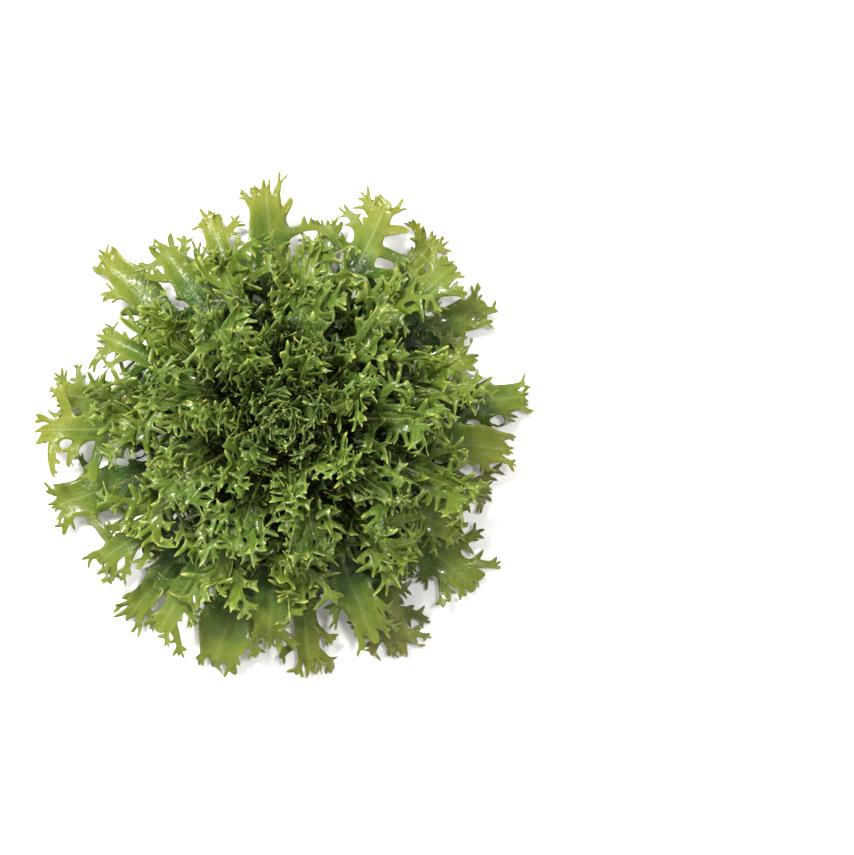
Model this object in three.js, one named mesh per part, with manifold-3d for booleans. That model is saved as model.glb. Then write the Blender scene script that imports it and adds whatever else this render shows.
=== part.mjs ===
// A head of curly endive, cut at the root and standing on its cut stump, as it lies on a table.
// Millimetres, +Z up. The origin is the centre of the cut face, and +Y is the top of the head when
// it is looked at from straight above.
//
// The stump carries rings of leaves, one above the other. Every leaf is one thin arched blade with a
// fleshy rib, and its lobes and teeth are cut to the rib. A leaf is first drawn lying flat: x runs
// along the rib, y to its left and z above it. It is then bent over its ring's arch and turned to its
// bearing. Each leaf stays inside its own share of its ring, so no two leaves meet.

import * as THREE from "three";
import { mergeVertices } from "three/addons/utils/BufferGeometryUtils.js";
import Module from "manifold-3d";

// The stump: radius and height of each step of its outline, from the cut face to the growing tip
const STUMP_FOOT_RADIUS = 17.2;
const STUMP_OUTLINE = [
  [18.4, 1.4],
  [18.5, 3.4],
  [17.8, 6.5],
  [16.0, 11.5],
  [13.6, 16.5],
  [10.8, 21.0],
  [7.6, 25.0],
  [4.2, 28.0],
];
const STUMP_TOP = 29.6;
const STUMP_SIDES = 24;
const STUMP_COLOUR = 0xe6dfb4;
const STUMP_ROUGHNESS = 0.6;

// Every leaf
const BLADE_THICKNESS = 0.9;
const LEAF_ROUGHNESS = 0.45;
const BEYOND_RIB = 0.8; // what the reach of a leaf leaves past its rib, as a share of its least end lobe
const SLAB_OPENS = [0.1, 0.8]; // shares of the rib between which a ring's slab widens
const TIP_NARROWING = 0.3; // share of its width that a blade has lost at the end of its rib
const NARROWS_FROM = 0.84; // share of the rib
const KNEE = 0.66; // share of a limit up to which a distance is left as it is
const HANGING = -0.5; // rise of the lobes that hang, as a share of what the standing ones rise
const MERGED_WITHIN = 1e-3;
const NARROW_BLADE = [3.4, 4.4]; // half-width at its widest, where a ring gives none
const UNEVENNESS = 0.14; // of the spacing round a ring, either way
const SKIN_GAP = 0.45; // between the stump and the root of a leaf
const SIDE_MARGIN = 0.9; // left free at each side of a leaf's share of its ring
const FLOOR_CLEARANCE = 0.9; // of the middle of the lowest blades
const WIDEST_LOBE = 4.6; // half-width
const LOBE_TAPER = [1.15, 0.6]; // a lobe's width at its root and tip, as a share of its widest
const NARROWEST_FACE = 1.2; // least height of a triangle of the blade
const LEAST_AGREEMENT = 0.6; // cosine between a triangle of the middle of a blade and of its skins
const LOBE_CLEARANCE = 1.5; // between the middles of two lobes of one leaf
const ROOT_CLEARANCE = 0.4; // close to a lobe's root, as a share of the distance from it
const ROUNDING = 1e-6;
const LOBE_TRIES = 14; // a lobe that meets another is drawn again, a little shorter, so many times
const SHORTEST = 0.5; // of its length at the last try
const CROSS_SHARE = 0.35; // of a lobe's lean, by which its cross-sections turn with it
const FIRST_SEED = 500; // of the lowest ring, and one more for each ring above it
const BUD_SEED = 120;
const TOOTH_LEAN = 0.8; // towards the tip, as a share of its reach
const TOOTH_RISE = 1.2; // off the blade, either way
const SPREAD_FROM = 20; // from this radius a leaf turns from its root's bearing
const SPREAD_TO = 95; // to its tip's, which it has reached at this one

// The outer leaves, read from the photograph: bearing of the tip in degrees anticlockwise from +X,
// reach of the tip and half-width of the blade in millimetres
const LOW_TIPS = [
  [7, 127, 11],
  [32, 123, 9],
  [52, 125, 7],
  [78, 108, 6],
  [111, 118, 8],
  [138, 131, 10],
  [172, 124, 9],
  [199, 133, 12],
  [230, 132, 8],
  [253, 136, 13],
  [275, 128, 7],
  [297, 134, 10],
  [319, 130, 12],
  [341, 112, 7],
];
const HIGH_TIPS = [
  [-6, 117, 10],
  [20, 104, 6],
  [44, 120, 9],
  [66, 128, 8],
  [95.5, 124, 13],
  [125, 116, 9],
  [154, 108, 7],
  [181, 129, 9],
  [216, 124, 8],
  [238, 128, 8],
  [265, 116, 12],
  [292, 121, 10],
  [327, 106, 10],
];

// The rings, from the lowest up. foot is the height of the leaves' roots on the stump, rise and fall
// the slopes of the arch at root and tip in degrees above the horizontal, tipHeight the height of the
// rib's end, pull how strongly the arch keeps each slope, and slab how far lobes may stand off the
// blade, at the root and at the tip, and lobeSize scales the lobes. A ring with no tips of its own
// spaces its count evenly.
const RINGS = [
  {
    name: "low_leaf",
    form: "paddle",
    tips: LOW_TIPS,
    foot: 4.6,
    rise: 26,
    fall: -14,
    tipHeight: 8,
    pull: 0.36,
    slab: [2.0, 8],
    lobeSize: 1.0,
    colour: 0x7f9f35,
  },
  {
    name: "high_leaf",
    form: "paddle",
    tips: HIGH_TIPS,
    foot: 10.2,
    rise: 54,
    fall: -20,
    tipHeight: 27,
    pull: 0.36,
    slab: [2.0, 8.5],
    lobeSize: 1.0,
    colour: 0x7a9d33,
  },
  {
    name: "middle_leaf",
    form: "frill",
    count: 11,
    turn: 13,
    reach: 92,
    foot: 15.0,
    rise: 68,
    fall: -10,
    tipHeight: 50,
    pull: 0.4,
    slab: [1.9, 8.5],
    lobeSize: 1.0,
    colour: 0x5d8a2d,
  },
  {
    name: "inner_leaf",
    form: "frill",
    count: 9,
    turn: 4,
    reach: 70,
    foot: 19.6,
    rise: 76,
    fall: 8,
    tipHeight: 71,
    pull: 0.42,
    slab: [1.9, 8.5],
    lobeSize: 0.95,
    colour: 0x4d7c2a,
  },
  {
    name: "crown_leaf",
    form: "frill",
    count: 7,
    turn: 21,
    reach: 47,
    foot: 23.6,
    rise: 82,
    fall: 32,
    tipHeight: 92,
    pull: 0.42,
    slab: [1.7, 8],
    lobeSize: 0.85,
    colour: 0x437228,
  },
  {
    name: "heart_leaf",
    form: "frill",
    count: 4,
    turn: 40,
    reach: 25,
    foot: 26.8,
    rise: 86,
    fall: 55,
    tipHeight: 92,
    pull: 0.42,
    slab: [1.5, 5.6],
    lobeSize: 0.6,
    colour: 0x3c6a26,
  },
];

// The bud in the middle: small leaves on a slim core, grown together as one piece. Its leaves may
// cross, so each has the same room to its sides, and they curve about an axis behind the head's.
const BUD = {
  name: "heart_bud",
  form: "scrap",
  count: 5,
  turn: 10,
  reach: 12,
  blade: [1.9, 2.5],
  foot: 54,
  rise: 88,
  fall: 66,
  tipHeight: 98,
  pull: 0.42,
  slab: [0.8, 2.6],
  room: 4.3,
  behind: 12,
  lobeSize: 1,
  colour: 0x35612a,
};
const BUD_LEAF_ROOT = 1.2; // radius at which its leaves start, inside the core
const BUD_CORE = [
  [0, 30.1],
  [1.6, 30.8],
  [2.8, 38],
  [3.1, 50],
  [2.6, 60],
  [0, 70],
];
const BUD_SIDES = 8;

// The whole head sways alike: outwards from one radius to another its leaves stand higher or lower by
// waves round it, each of so many millimetres, so many to a turn and from some degrees on.
const SWAY_FROM = 32;
const SWAY_TO = 105;
const SWAY_HEIGHT = 30; // what is lower than this sways less, and the floor not at all
const SWAYS = [
  [3.6, 3, 20],
  [3.0, 7, 75],
  [2.2, 11, 40],
];

// The three forms of leaf. stations are the steps along the rib as shares of its length, stalk its
// half-width at the root and where it starts to widen, opens the shares between which it widens, and
// rib half its thickness at root and tip. ruffle is the wave of the margins in millimetres. Lobes start
// after the share lobesFrom. A lobe's width is half its root's, times a share. It leans forward, rises
// off the blade, bends and twists by degrees, and toothReach is a share of the edge a tooth grows on.
const FORMS = {
  paddle: {
    stations: [0, 0.2, 0.42, 0.58, 0.7, 0.81, 0.91, 1],
    stalk: [3.7, 2.9],
    opens: [0.32, 0.74],
    rib: [1.5, 0.6],
    ribColumn: true,
    cup: 0.16,
    ruffle: 1.6,
    lobesFrom: 0.41,
    everySegment: true,
    lobe: {
      length: [7, 14],
      width: 0.29,
      steps: 1,
      lean: 40,
      rise: 14,
      bend: 16,
      twist: 22,
      teeth: 1,
      toothReach: [0.2, 0.34],
    },
    endLobe: {
      length: [8, 13],
      width: 0.34,
      steps: 1,
      lean: 16,
      rise: 8,
      bend: 16,
      twist: 16,
      teeth: 1,
      toothReach: [0.24, 0.4],
    },
  },
  frill: {
    stations: [0, 0.26, 0.46, 0.56, 0.65, 0.74, 0.82, 0.9, 1],
    stalk: [3.2, 1.7],
    opens: [0.4, 0.9],
    rib: [1.3, 0.6],
    ribColumn: false,
    cup: 0,
    ruffle: 0.6,
    lobesFrom: 0.44,
    everySegment: false,
    lobe: {
      length: [17, 25],
      width: 0.3,
      steps: 2,
      lean: 36,
      rise: 24,
      bend: 26,
      twist: 60,
      teeth: 3,
      toothReach: [0.45, 0.7],
    },
    endLobe: {
      length: [10, 15],
      width: 0.42,
      steps: 1,
      lean: 26,
      rise: 20,
      bend: 30,
      twist: 50,
      teeth: 2,
      toothReach: [0.4, 0.6],
    },
  },
  scrap: {
    stations: [0, 0.3, 0.5, 0.68, 0.84, 1],
    stalk: [1.7, 1.3],
    opens: [0.2, 0.7],
    rib: [0.8, 0.5],
    ribColumn: false,
    cup: 0,
    ruffle: 0.5,
    lobesFrom: 0.25,
    everySegment: false,
    lobe: {
      length: [7, 10],
      width: 0.28,
      steps: 1,
      lean: 34,
      rise: 16,
      bend: 20,
      twist: 40,
      teeth: 1,
      toothReach: [0.4, 0.6],
    },
    endLobe: {
      length: [6, 9],
      width: 0.42,
      steps: 1,
      lean: 20,
      rise: 14,
      bend: 20,
      twist: 30,
      teeth: 1,
      toothReach: [0.4, 0.6],
    },
  },
};

const degrees = (angle) => (angle * Math.PI) / 180;
const smooth = (from, to, value) => THREE.MathUtils.smoothstep(value, from, to);
const mix = (pair, share) => pair[0] + (pair[1] - pair[0]) * share;

// Corners, middles of sides and middle of a triangle, as weights of its corners
const SAMPLE_WEIGHTS = [
  [1, 0, 0],
  [0, 1, 0],
  [0, 0, 1],
  [0.5, 0.5, 0],
  [0, 0.5, 0.5],
  [0.5, 0, 0.5],
  [0.34, 0.33, 0.33],
];

// A seeded draw, the same at every run: even numbers from low to high.
function drawer(seed) {
  let state = seed >>> 0;
  return (low, high) => {
    state = (state + 0x6d2b79f5) >>> 0;
    let t = Math.imul(state ^ (state >>> 15), 1 | state);
    t = (t + Math.imul(t ^ (t >>> 7), 61 | t)) ^ t;
    return low + (((t ^ (t >>> 14)) >>> 0) / 4294967296) * (high - low);
  };
}

// Presses a distance softly under a limit, and leaves it as it is below KNEE of that limit.
function within(limit, value) {
  const knee = limit * KNEE;
  const size = Math.abs(value);
  if (size <= knee) return value;
  const spare = limit - knee;
  return Math.sign(value) * (knee + spare * Math.tanh((size - knee) / spare));
}

// A sheet of triangles, wound so that its upper side faces the viewer. Each point has its place on the
// flat leaf, its place in the standing head and half a thickness. thicken() closes it into a solid.
class Sheet {
  flats = [];
  points = [];
  halves = [];
  faces = [];
  samples = [];

  constructor(bend) {
    this.bend = bend;
  }

  add(x, y, z, half = BLADE_THICKNESS / 2) {
    const flat = new THREE.Vector3(x, y, z);
    this.flats.push(flat);
    this.points.push(this.bend(flat));
    this.halves.push(half);
    return this.points.length - 1;
  }

  triangle(left, right, ahead) {
    this.faces.push([left, right, ahead]);
    const corners = [left, right, ahead].map((i) => this.points[i]);
    const blend = (weights) =>
      weights.reduce((sum, w, i) => sum.addScaledVector(corners[i], w), new THREE.Vector3());
    this.samples.push(SAMPLE_WEIGHTS.map(blend));
  }

  // left and right of one step, then left and right of the next
  step(left, right, nextLeft, nextRight) {
    this.triangle(left, right, nextRight);
    this.triangle(left, nextRight, nextLeft);
  }

  // Drops every point and face added since the sheet had so many of them.
  cutBack([points, faces]) {
    for (const list of [this.flats, this.points, this.halves]) list.length = points;
    for (const list of [this.faces, this.samples]) list.length = faces;
  }

  // Are the faces from number `first` on clear of the earlier ones? Close to their shared root, of
  // the points left and right, they may be as near as the angle between them makes them.
  isClear(first, left, right) {
    const root = [this.points[left], this.points[right]];
    const triangle = new THREE.Triangle();
    const nearest = new THREE.Vector3();
    const tooClose = (points, face) => {
      triangle.set(...face.map((i) => this.points[i]));
      return points.some((point) => {
        const fromRoot = Math.min(...root.map((corner) => corner.distanceTo(point)));
        triangle.closestPointToPoint(point, nearest);
        return nearest.distanceTo(point) < Math.min(LOBE_CLEARANCE, fromRoot * ROOT_CLEARANCE) - ROUNDING;
      });
    };
    for (let earlier = 0; earlier < first; earlier++) {
      const old = this.faces[earlier];
      if (old.includes(left) && old.includes(right)) continue;
      for (let now = first; now < this.faces.length; now++) {
        if (tooClose(this.samples[now], old)) return false;
        if (tooClose(this.samples[earlier], this.faces[now])) return false;
      }
    }
    return this.isOpen();
  }

  // Is every face wide enough, and no fold so sharp that the two skins of a face would cross?
  isOpen() {
    const skins = this.skins();
    const face = new THREE.Triangle();
    const normal = new THREE.Vector3();
    const skinNormal = new THREE.Vector3();
    return this.faces.every((corners) => {
      face.set(...corners.map((i) => this.points[i])).getNormal(normal);
      const [a, b, c] = corners.map((i) => this.points[i]);
      const longest = Math.max(a.distanceTo(b), b.distanceTo(c), c.distanceTo(a));
      if ((2 * face.getArea()) / longest < NARROWEST_FACE) return false;
      return skins.every((skin) => {
        face.set(...corners.map((i) => skin[i])).getNormal(skinNormal);
        return skinNormal.dot(normal) > LEAST_AGREEMENT;
      });
    });
  }

  // The points moved out by half the thickness, above and below the sheet.
  skins() {
    const normals = this.points.map(() => new THREE.Vector3());
    for (const [a, b, c] of this.faces) {
      const [pa, pb, pc] = [this.points[a], this.points[b], this.points[c]];
      const normal = pb.clone().sub(pa).cross(pc.clone().sub(pa)).normalize();
      for (const [corner, one, other] of [[a, pb, pc], [b, pc, pa], [c, pa, pb]]) {
        const at = this.points[corner];
        const angle = one.clone().sub(at).angleTo(other.clone().sub(at));
        normals[corner].addScaledVector(normal, angle);
      }
    }
    normals.forEach((normal, i) => normal.setLength(this.halves[i]));
    const moved = (side) => this.points.map((point, i) => point.clone().addScaledVector(normals[i], side));
    return [moved(1), moved(-1)];
  }

  thicken() {
    const count = this.points.length;
    const corners = this.skins().flat().flatMap((point) => point.toArray());
    const open = new Map();
    const index = [];
    for (const [a, b, c] of this.faces) {
      index.push(a, b, c, a + count, c + count, b + count);
      for (const [from, to] of [[a, b], [b, c], [c, a]]) {
        if (open.has(`${to},${from}`)) open.delete(`${to},${from}`);
        else open.set(`${from},${to}`, [from, to]);
      }
    }
    for (const [from, to] of open.values())
      index.push(from + count, to + count, to, from + count, to, from);
    const geometry = new THREE.BufferGeometry();
    geometry.setAttribute("position", new THREE.Float32BufferAttribute(corners, 3));
    geometry.setIndex(index);
    return geometry;
  }
}

// The height at which a point of the unswayed head stands.
function sway(radius, angle, height) {
  const wave = ([size, count, from]) => size * Math.sin(count * angle + degrees(from));
  const waves = SWAYS.reduce((sum, one) => sum + wave(one), 0);
  return height + waves * smooth(SWAY_FROM, SWAY_TO, radius) * smooth(0, SWAY_HEIGHT, height);
}

// The arch that a leaf's rib follows, in the plane of radius and height.
class Arch {
  constructor(foot, tip, ring) {
    const handle = foot.distanceTo(tip) * ring.pull;
    const along = (angle) => new THREE.Vector2(Math.cos(degrees(angle)), Math.sin(degrees(angle)));
    this.curve = new THREE.CubicBezierCurve(
      foot,
      along(ring.rise).multiplyScalar(handle).add(foot),
      along(ring.fall).multiplyScalar(-handle).add(tip),
      tip,
    );
    this.length = this.curve.getLength();
  }

  // Point and slope at a distance along the rib, straight on past either end.
  at(x) {
    const share = THREE.MathUtils.clamp(x / this.length, 0, 1);
    const slope = this.curve.getTangentAt(share);
    const point = this.curve.getPointAt(share);
    return { point: point.addScaledVector(slope, x - share * this.length), slope };
  }
}

function stumpRadius(height) {
  const outline = [[STUMP_FOOT_RADIUS, 0], ...STUMP_OUTLINE, [0, STUMP_TOP]];
  const next = outline.findIndex((step) => step[1] >= height);
  const [low, high] = [outline[Math.max(next - 1, 0)], outline[Math.max(next, 1)]];
  return THREE.MathUtils.mapLinear(height, low[1], high[1], low[0], high[0]);
}

// The centre of a leaf's cut root: its inner edge clears the stump's skin by SKIN_GAP, also in the
// middle of a root with no rib column, which is a straight chord between its two sides.
function rootOf(ring, form) {
  if (ring === BUD) return new THREE.Vector2(BUD_LEAF_ROOT, ring.foot);
  const rise = degrees(ring.rise);
  const [thick, half] = [form.rib[0], form.stalk[0]];
  const skin = stumpRadius(ring.foot + thick * Math.cos(rise));
  const chordDepth = form.ribColumn ? 0 : (half * half) / (2 * skin);
  return new THREE.Vector2(skin + thick * Math.sin(rise) + SKIN_GAP + chordDepth, ring.foot);
}

class Leaf {
  constructor(ring, place, seed) {
    this.ring = ring;
    this.form = FORMS[ring.form];
    this.place = place;
    this.draw = drawer(seed);
    const foot = rootOf(ring, this.form);
    const beyond = this.form.endLobe.length[0] * BEYOND_RIB;
    const tip = new THREE.Vector2(place.reach - beyond, ring.tipHeight);
    this.arch = new Arch(foot, tip, ring);
  }

  // Bearing of the rib where it passes a radius, for this leaf or a neighbour.
  static bearing(place, radius) {
    return place.root + (place.tip - place.root) * smooth(SPREAD_FROM, SPREAD_TO, radius);
  }

  // A point of the flat leaf, in the standing head.
  bend(flat) {
    const { point, slope } = this.arch.at(flat.x);
    const share = THREE.MathUtils.clamp(flat.x / this.arch.length, 0, 1);
    const lift = within(mix(this.ring.slab, smooth(...SLAB_OPENS, share)), flat.z);
    const radius = point.x - slope.y * lift;
    const height = Math.max(point.y + slope.x * lift, FLOOR_CLEARANCE);
    const bearing = Leaf.bearing(this.place, radius);
    const neighbour = flat.y > 0 ? this.place.next : this.place.previous;
    const between = Math.abs(Leaf.bearing(neighbour, radius) - bearing) / 2;
    const room = this.ring.room ?? radius * degrees(between) - SIDE_MARGIN;
    const { behind = 0 } = this.ring;
    const direction = degrees(bearing);
    const angle = direction + within(room, flat.y) / (radius + behind);
    const x = (radius + behind) * Math.cos(angle) - behind * Math.cos(direction);
    const y = (radius + behind) * Math.sin(angle) - behind * Math.sin(direction);
    return new THREE.Vector3(x, y, sway(radius, angle, height));
  }

  halfWidth(share) {
    const { stalk, opens } = this.form;
    const narrow = mix(stalk, smooth(0, opens[0], share));
    const opened = smooth(...opens, share) * (1 - TIP_NARROWING * smooth(NARROWS_FROM, 1, share));
    return narrow + Math.max(this.place.halfWidth - narrow, 0) * opened;
  }

  // A lobe that grows from the edge between two points of the sheet, which stay its root. It is
  // drawn again until it meets nothing, and left out where it always would.
  growLobe(sheet, left, right, shape, side, rises) {
    const start = [sheet.points.length, sheet.faces.length];
    for (let attempt = 0; attempt < LOBE_TRIES; attempt++) {
      const shrink = 1 - ((1 - SHORTEST) * attempt) / LOBE_TRIES;
      const edges = this.drawLobe(sheet, left, right, shape, side, rises, shrink);
      if (sheet.isClear(start[1], left, right)) {
        this.growTeeth(sheet, edges, shape);
        return;
      }
      sheet.cutBack(start);
    }
  }

  drawLobe(sheet, left, right, shape, side, rises, shrink) {
    const draw = this.draw;
    const [from, to] = [sheet.flats[right], sheet.flats[left]];
    const across = to.clone().sub(from);
    const rootWidth = across.length();
    across.normalize();
    const up = new THREE.Vector3(0, 0, 1).addScaledVector(across, -across.z).normalize();
    const ahead = across.clone().cross(up);
    const turn = (axis, angle) => {
      for (const arm of [ahead, across, up]) arm.applyAxisAngle(axis, degrees(angle));
    };
    const lean = side * shape.lean * draw(0.8, 1.15);
    turn(up.clone(), lean * CROSS_SHARE);
    ahead.applyAxisAngle(up, degrees(lean * (1 - CROSS_SHARE)));
    turn(across.clone(), -rises * shape.rise * draw(0.6, 1.3));
    const stride = (draw(...shape.length) * this.ring.lobeSize * shrink) / (shape.steps + 1);
    const bend = (-rises * shape.bend * draw(0.2, 1.2)) / shape.steps;
    const twist = (shape.twist * draw(-1, 1)) / shape.steps;
    const at = from.clone().add(to).multiplyScalar(0.5);
    let [edgeLeft, edgeRight] = [left, right];
    const edges = [];
    for (let step = 1; step <= shape.steps; step++) {
      at.addScaledVector(ahead, stride);
      turn(across.clone(), bend);
      turn(ahead.clone(), twist);
      const taper = mix(LOBE_TAPER, step / (shape.steps + 1));
      const half = Math.min(rootWidth * shape.width, WIDEST_LOBE) * taper;
      const [nextLeft, nextRight] = [half, -half].map((offset) => {
        const point = at.clone().addScaledVector(across, offset);
        return sheet.add(point.x, point.y, point.z);
      });
      sheet.step(edgeLeft, edgeRight, nextLeft, nextRight);
      edges.push([edgeLeft, nextLeft, 1], [nextRight, edgeRight, -1]);
      [edgeLeft, edgeRight] = [nextLeft, nextRight];
    }
    at.addScaledVector(ahead, stride);
    const tip = sheet.add(at.x, at.y, at.z);
    sheet.triangle(edgeLeft, edgeRight, tip);
    return [...edges, [edgeLeft, tip, 1], [tip, edgeRight, -1]];
  }

  // Single pointed teeth on the outer edges of a lobe, left out where they would meet another lobe.
  growTeeth(sheet, edges, shape) {
    const outer = edges.slice(2);
    const first = Math.floor(this.draw(0, outer.length));
    for (let tooth = 0; tooth < shape.teeth; tooth++) {
      const [left, right, side] = outer[(first + tooth) % outer.length];
      const start = [sheet.points.length, sheet.faces.length];
      const [from, to] = [sheet.flats[left], sheet.flats[right]];
      const ahead = to.clone().sub(from).multiplyScalar(side);
      const outward = new THREE.Vector3(-ahead.y, ahead.x, 0).multiplyScalar(side);
      const apex = from.clone().add(to).multiplyScalar(0.5);
      const reach = this.draw(...shape.toothReach);
      apex.addScaledVector(outward, reach).addScaledVector(ahead, reach * TOOTH_LEAN);
      apex.z += this.draw(-TOOTH_RISE, TOOTH_RISE);
      sheet.triangle(left, right, sheet.add(apex.x, apex.y, apex.z));
      if (!sheet.isClear(start[1], left, right)) sheet.cutBack(start);
    }
  }

  drawSheet() {
    const { form, draw } = this;
    const sheet = new Sheet((flat) => this.bend(flat));
    const rows = form.stations.map((share, i) => {
      const half = this.halfWidth(share);
      const x = share * this.arch.length;
      const thick = mix(form.rib, Math.sqrt(share));
      const wave = i > 1 ? form.ruffle * draw(0.4, 1) * (i % 2 ? 1 : -1) : 0;
      const edge = form.ribColumn ? mix([thick, BLADE_THICKNESS / 2], smooth(0, 0.4, share)) : thick;
      const lift = half * form.cup;
      const left = sheet.add(x, half, lift + wave, edge);
      const rib = form.ribColumn ? sheet.add(x, 0, 0, thick) : null;
      const right = sheet.add(x, -half, lift - wave * 0.8, edge);
      return { left, rib, right };
    });
    for (let i = 1; i < rows.length; i++) {
      const [now, next] = [rows[i - 1], rows[i]];
      if (form.ribColumn) {
        sheet.step(now.left, now.rib, next.left, next.rib);
        sheet.step(now.rib, now.right, next.rib, next.right);
      } else sheet.step(now.left, now.right, next.left, next.right);
      if (form.stations[i - 1] < form.lobesFrom) continue;
      const rises = i % 2 ? 1 : HANGING;
      if (form.everySegment || i % 2)
        this.growLobe(sheet, now.left, next.left, form.lobe, -1, rises);
      if (form.everySegment || i % 2 === 0)
        this.growLobe(sheet, next.right, now.right, form.lobe, 1, form.everySegment ? -rises : 1);
    }
    const end = rows.at(-1);
    if (form.ribColumn) {
      this.growLobe(sheet, end.left, end.rib, form.endLobe, 1, 1);
      this.growLobe(sheet, end.rib, end.right, form.endLobe, -1, HANGING);
    } else this.growLobe(sheet, end.left, end.right, form.endLobe, 0, 1);
    return sheet;
  }

  geometry() {
    return this.drawSheet().thicken();
  }
}

function stump() {
  const outline = [[0, 0], [STUMP_FOOT_RADIUS, 0], ...STUMP_OUTLINE, [0, STUMP_TOP]];
  const profile = outline.map(([radius, height]) => new THREE.Vector2(radius, height));
  const geometry = new THREE.LatheGeometry(profile, STUMP_SIDES);
  return geometry.rotateX(Math.PI / 2);
}

// The places of a ring's leaves: the roots are spaced evenly round the stump, the tips are not.
function placesOf(ring, draw) {
  const evenly = Array.from({ length: ring.count ?? 0 }, (_, i) => [
    ring.turn + ((i + draw(-UNEVENNESS, UNEVENNESS)) * 360) / ring.count,
    ring.reach * draw(0.95, 1.05),
    draw(...(ring.blade ?? NARROW_BLADE)),
  ]);
  const tips = ring.tips ?? evenly;
  const start = tips.reduce((sum, tip, i) => sum + tip[0] - (i * 360) / tips.length, 0) / tips.length;
  const places = tips.map(([tip, reach, halfWidth], i) => ({
    tip,
    reach,
    halfWidth,
    root: start + (i * 360) / tips.length,
  }));
  const shifted = (place, by) => ({ ...place, tip: place.tip + by, root: place.root + by });
  places.forEach((place, i) => {
    const last = places.length - 1;
    place.next = i < last ? places[i + 1] : shifted(places[0], 360);
    place.previous = i > 0 ? places[i - 1] : shifted(places[last], -360);
  });
  return places;
}

function leavesOf(ring, seed) {
  const draw = drawer(seed);
  return placesOf(ring, draw).map((place, i) => new Leaf(ring, place, seed * 10 + i).geometry());
}

// Joins closed solids into one.
function fuse(geometries) {
  const solids = geometries.map((geometry) => {
    const bare = new THREE.BufferGeometry();
    bare.setAttribute("position", geometry.getAttribute("position"));
    bare.setIndex(geometry.getIndex());
    const merged = mergeVertices(bare, MERGED_WITHIN);
    const vertProperties = Float32Array.from(merged.getAttribute("position").array);
    const triVerts = Uint32Array.from(merged.getIndex().array);
    return new wasm.Manifold(new wasm.Mesh({ numProp: 3, vertProperties, triVerts }));
  });
  const whole = solids.reduce((sum, solid) => sum.add(solid)).getMesh();
  const geometry = new THREE.BufferGeometry();
  geometry.setAttribute("position", new THREE.BufferAttribute(whole.vertProperties, 3));
  geometry.setIndex(new THREE.BufferAttribute(whole.triVerts, 1));
  return geometry;
}

function bud() {
  const profile = BUD_CORE.map(([radius, height]) => new THREE.Vector2(radius, height));
  const core = new THREE.LatheGeometry(profile, BUD_SIDES).rotateX(Math.PI / 2);
  return fuse([core, ...leavesOf(BUD, BUD_SEED)]);
}

const wasm = await Module();
wasm.setup();

const head = new THREE.Group();
const addNode = (name, geometry, colour, roughness) => {
  const material = new THREE.MeshStandardMaterial({ color: colour, roughness, metalness: 0 });
  const mesh = new THREE.Mesh(geometry, material);
  mesh.name = name;
  head.add(mesh);
};

addNode("stump", stump(), STUMP_COLOUR, STUMP_ROUGHNESS);
RINGS.forEach((ring, r) => {
  leavesOf(ring, FIRST_SEED + r).forEach((leaf, i) => {
    const number = String(i + 1).padStart(2, "0");
    addNode(`${ring.name}_${number}`, leaf, ring.colour, LEAF_ROUGHNESS);
  });
});
addNode(BUD.name, bud(), BUD.colour, LEAF_ROUGHNESS);

export default head;
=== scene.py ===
"""A head of curly endive on a pale table, seen from straight above.

The head stands on its cut stump. Rings of leaves grow from the stump, one above the other: two of
broad, toothed outer leaves, and four of frilled ones that get shorter and finer towards the heart,
with a bud in the middle. Every leaf is drawn flat first, with x along its rib, y to its left and z
above it. It is then bent over its ring's arch and turned to its bearing, as the solid that it stands
for is. Sizes are in millimetres, and a mesh is made metres when it is written.
"""

import logging
import math
from dataclasses import dataclass, field, replace
from enum import Enum
from typing import Iterator, Sequence

import bpy
import numpy as np
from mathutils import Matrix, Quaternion, Vector


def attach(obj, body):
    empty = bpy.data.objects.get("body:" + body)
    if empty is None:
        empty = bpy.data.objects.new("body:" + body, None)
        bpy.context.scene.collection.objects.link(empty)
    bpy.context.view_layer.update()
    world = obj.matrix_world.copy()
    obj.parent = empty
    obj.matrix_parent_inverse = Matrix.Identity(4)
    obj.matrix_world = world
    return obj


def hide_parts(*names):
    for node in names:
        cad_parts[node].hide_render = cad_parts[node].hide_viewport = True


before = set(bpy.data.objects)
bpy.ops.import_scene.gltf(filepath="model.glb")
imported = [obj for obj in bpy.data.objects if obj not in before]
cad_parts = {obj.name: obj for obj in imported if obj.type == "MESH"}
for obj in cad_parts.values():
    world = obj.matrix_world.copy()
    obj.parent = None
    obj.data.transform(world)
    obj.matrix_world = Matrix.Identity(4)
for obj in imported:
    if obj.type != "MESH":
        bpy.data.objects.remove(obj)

LOG = logging.getLogger("endive")
METRES = 0.001

# The frame of the photograph, in pixels, the middle of the head in it and its scale
PHOTO_SIZE = (854, 855)
HEAD_PIXEL = (288, 425)
MM_PER_PIXEL = 0.52

# The stump: radius and height of each step of its outline, from the cut face to the growing tip
STUMP_OUTLINE = (
    (17.2, 0.0), (18.4, 1.4), (18.5, 3.4), (17.8, 6.5), (16.0, 11.5),
    (13.6, 16.5), (10.8, 21.0), (7.6, 25.0), (4.2, 28.0), (0.0, 29.6),
)

# Between a leaf's foot and the stump's skin, and between the table and the middle of a leaf
SKIN_GAP = 0.45
FLOOR_CLEARANCE = 0.9

# The radii between which a leaf turns from its root's bearing to its tip's
SPREAD = (20.0, 95.0)

# How unevenly a ring's tips stand, in shares of their spacing and of their reach
UNEVENNESS = 0.14
REACHES = (0.95, 1.05)

# The share of a limit from which on a distance is pressed under it
KNEE = 0.66

# The seed of the lowest ring, from which the others count on, and that of the bud and the stump
FIRST_SEED = 500
BUD_SEED = 120

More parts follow.
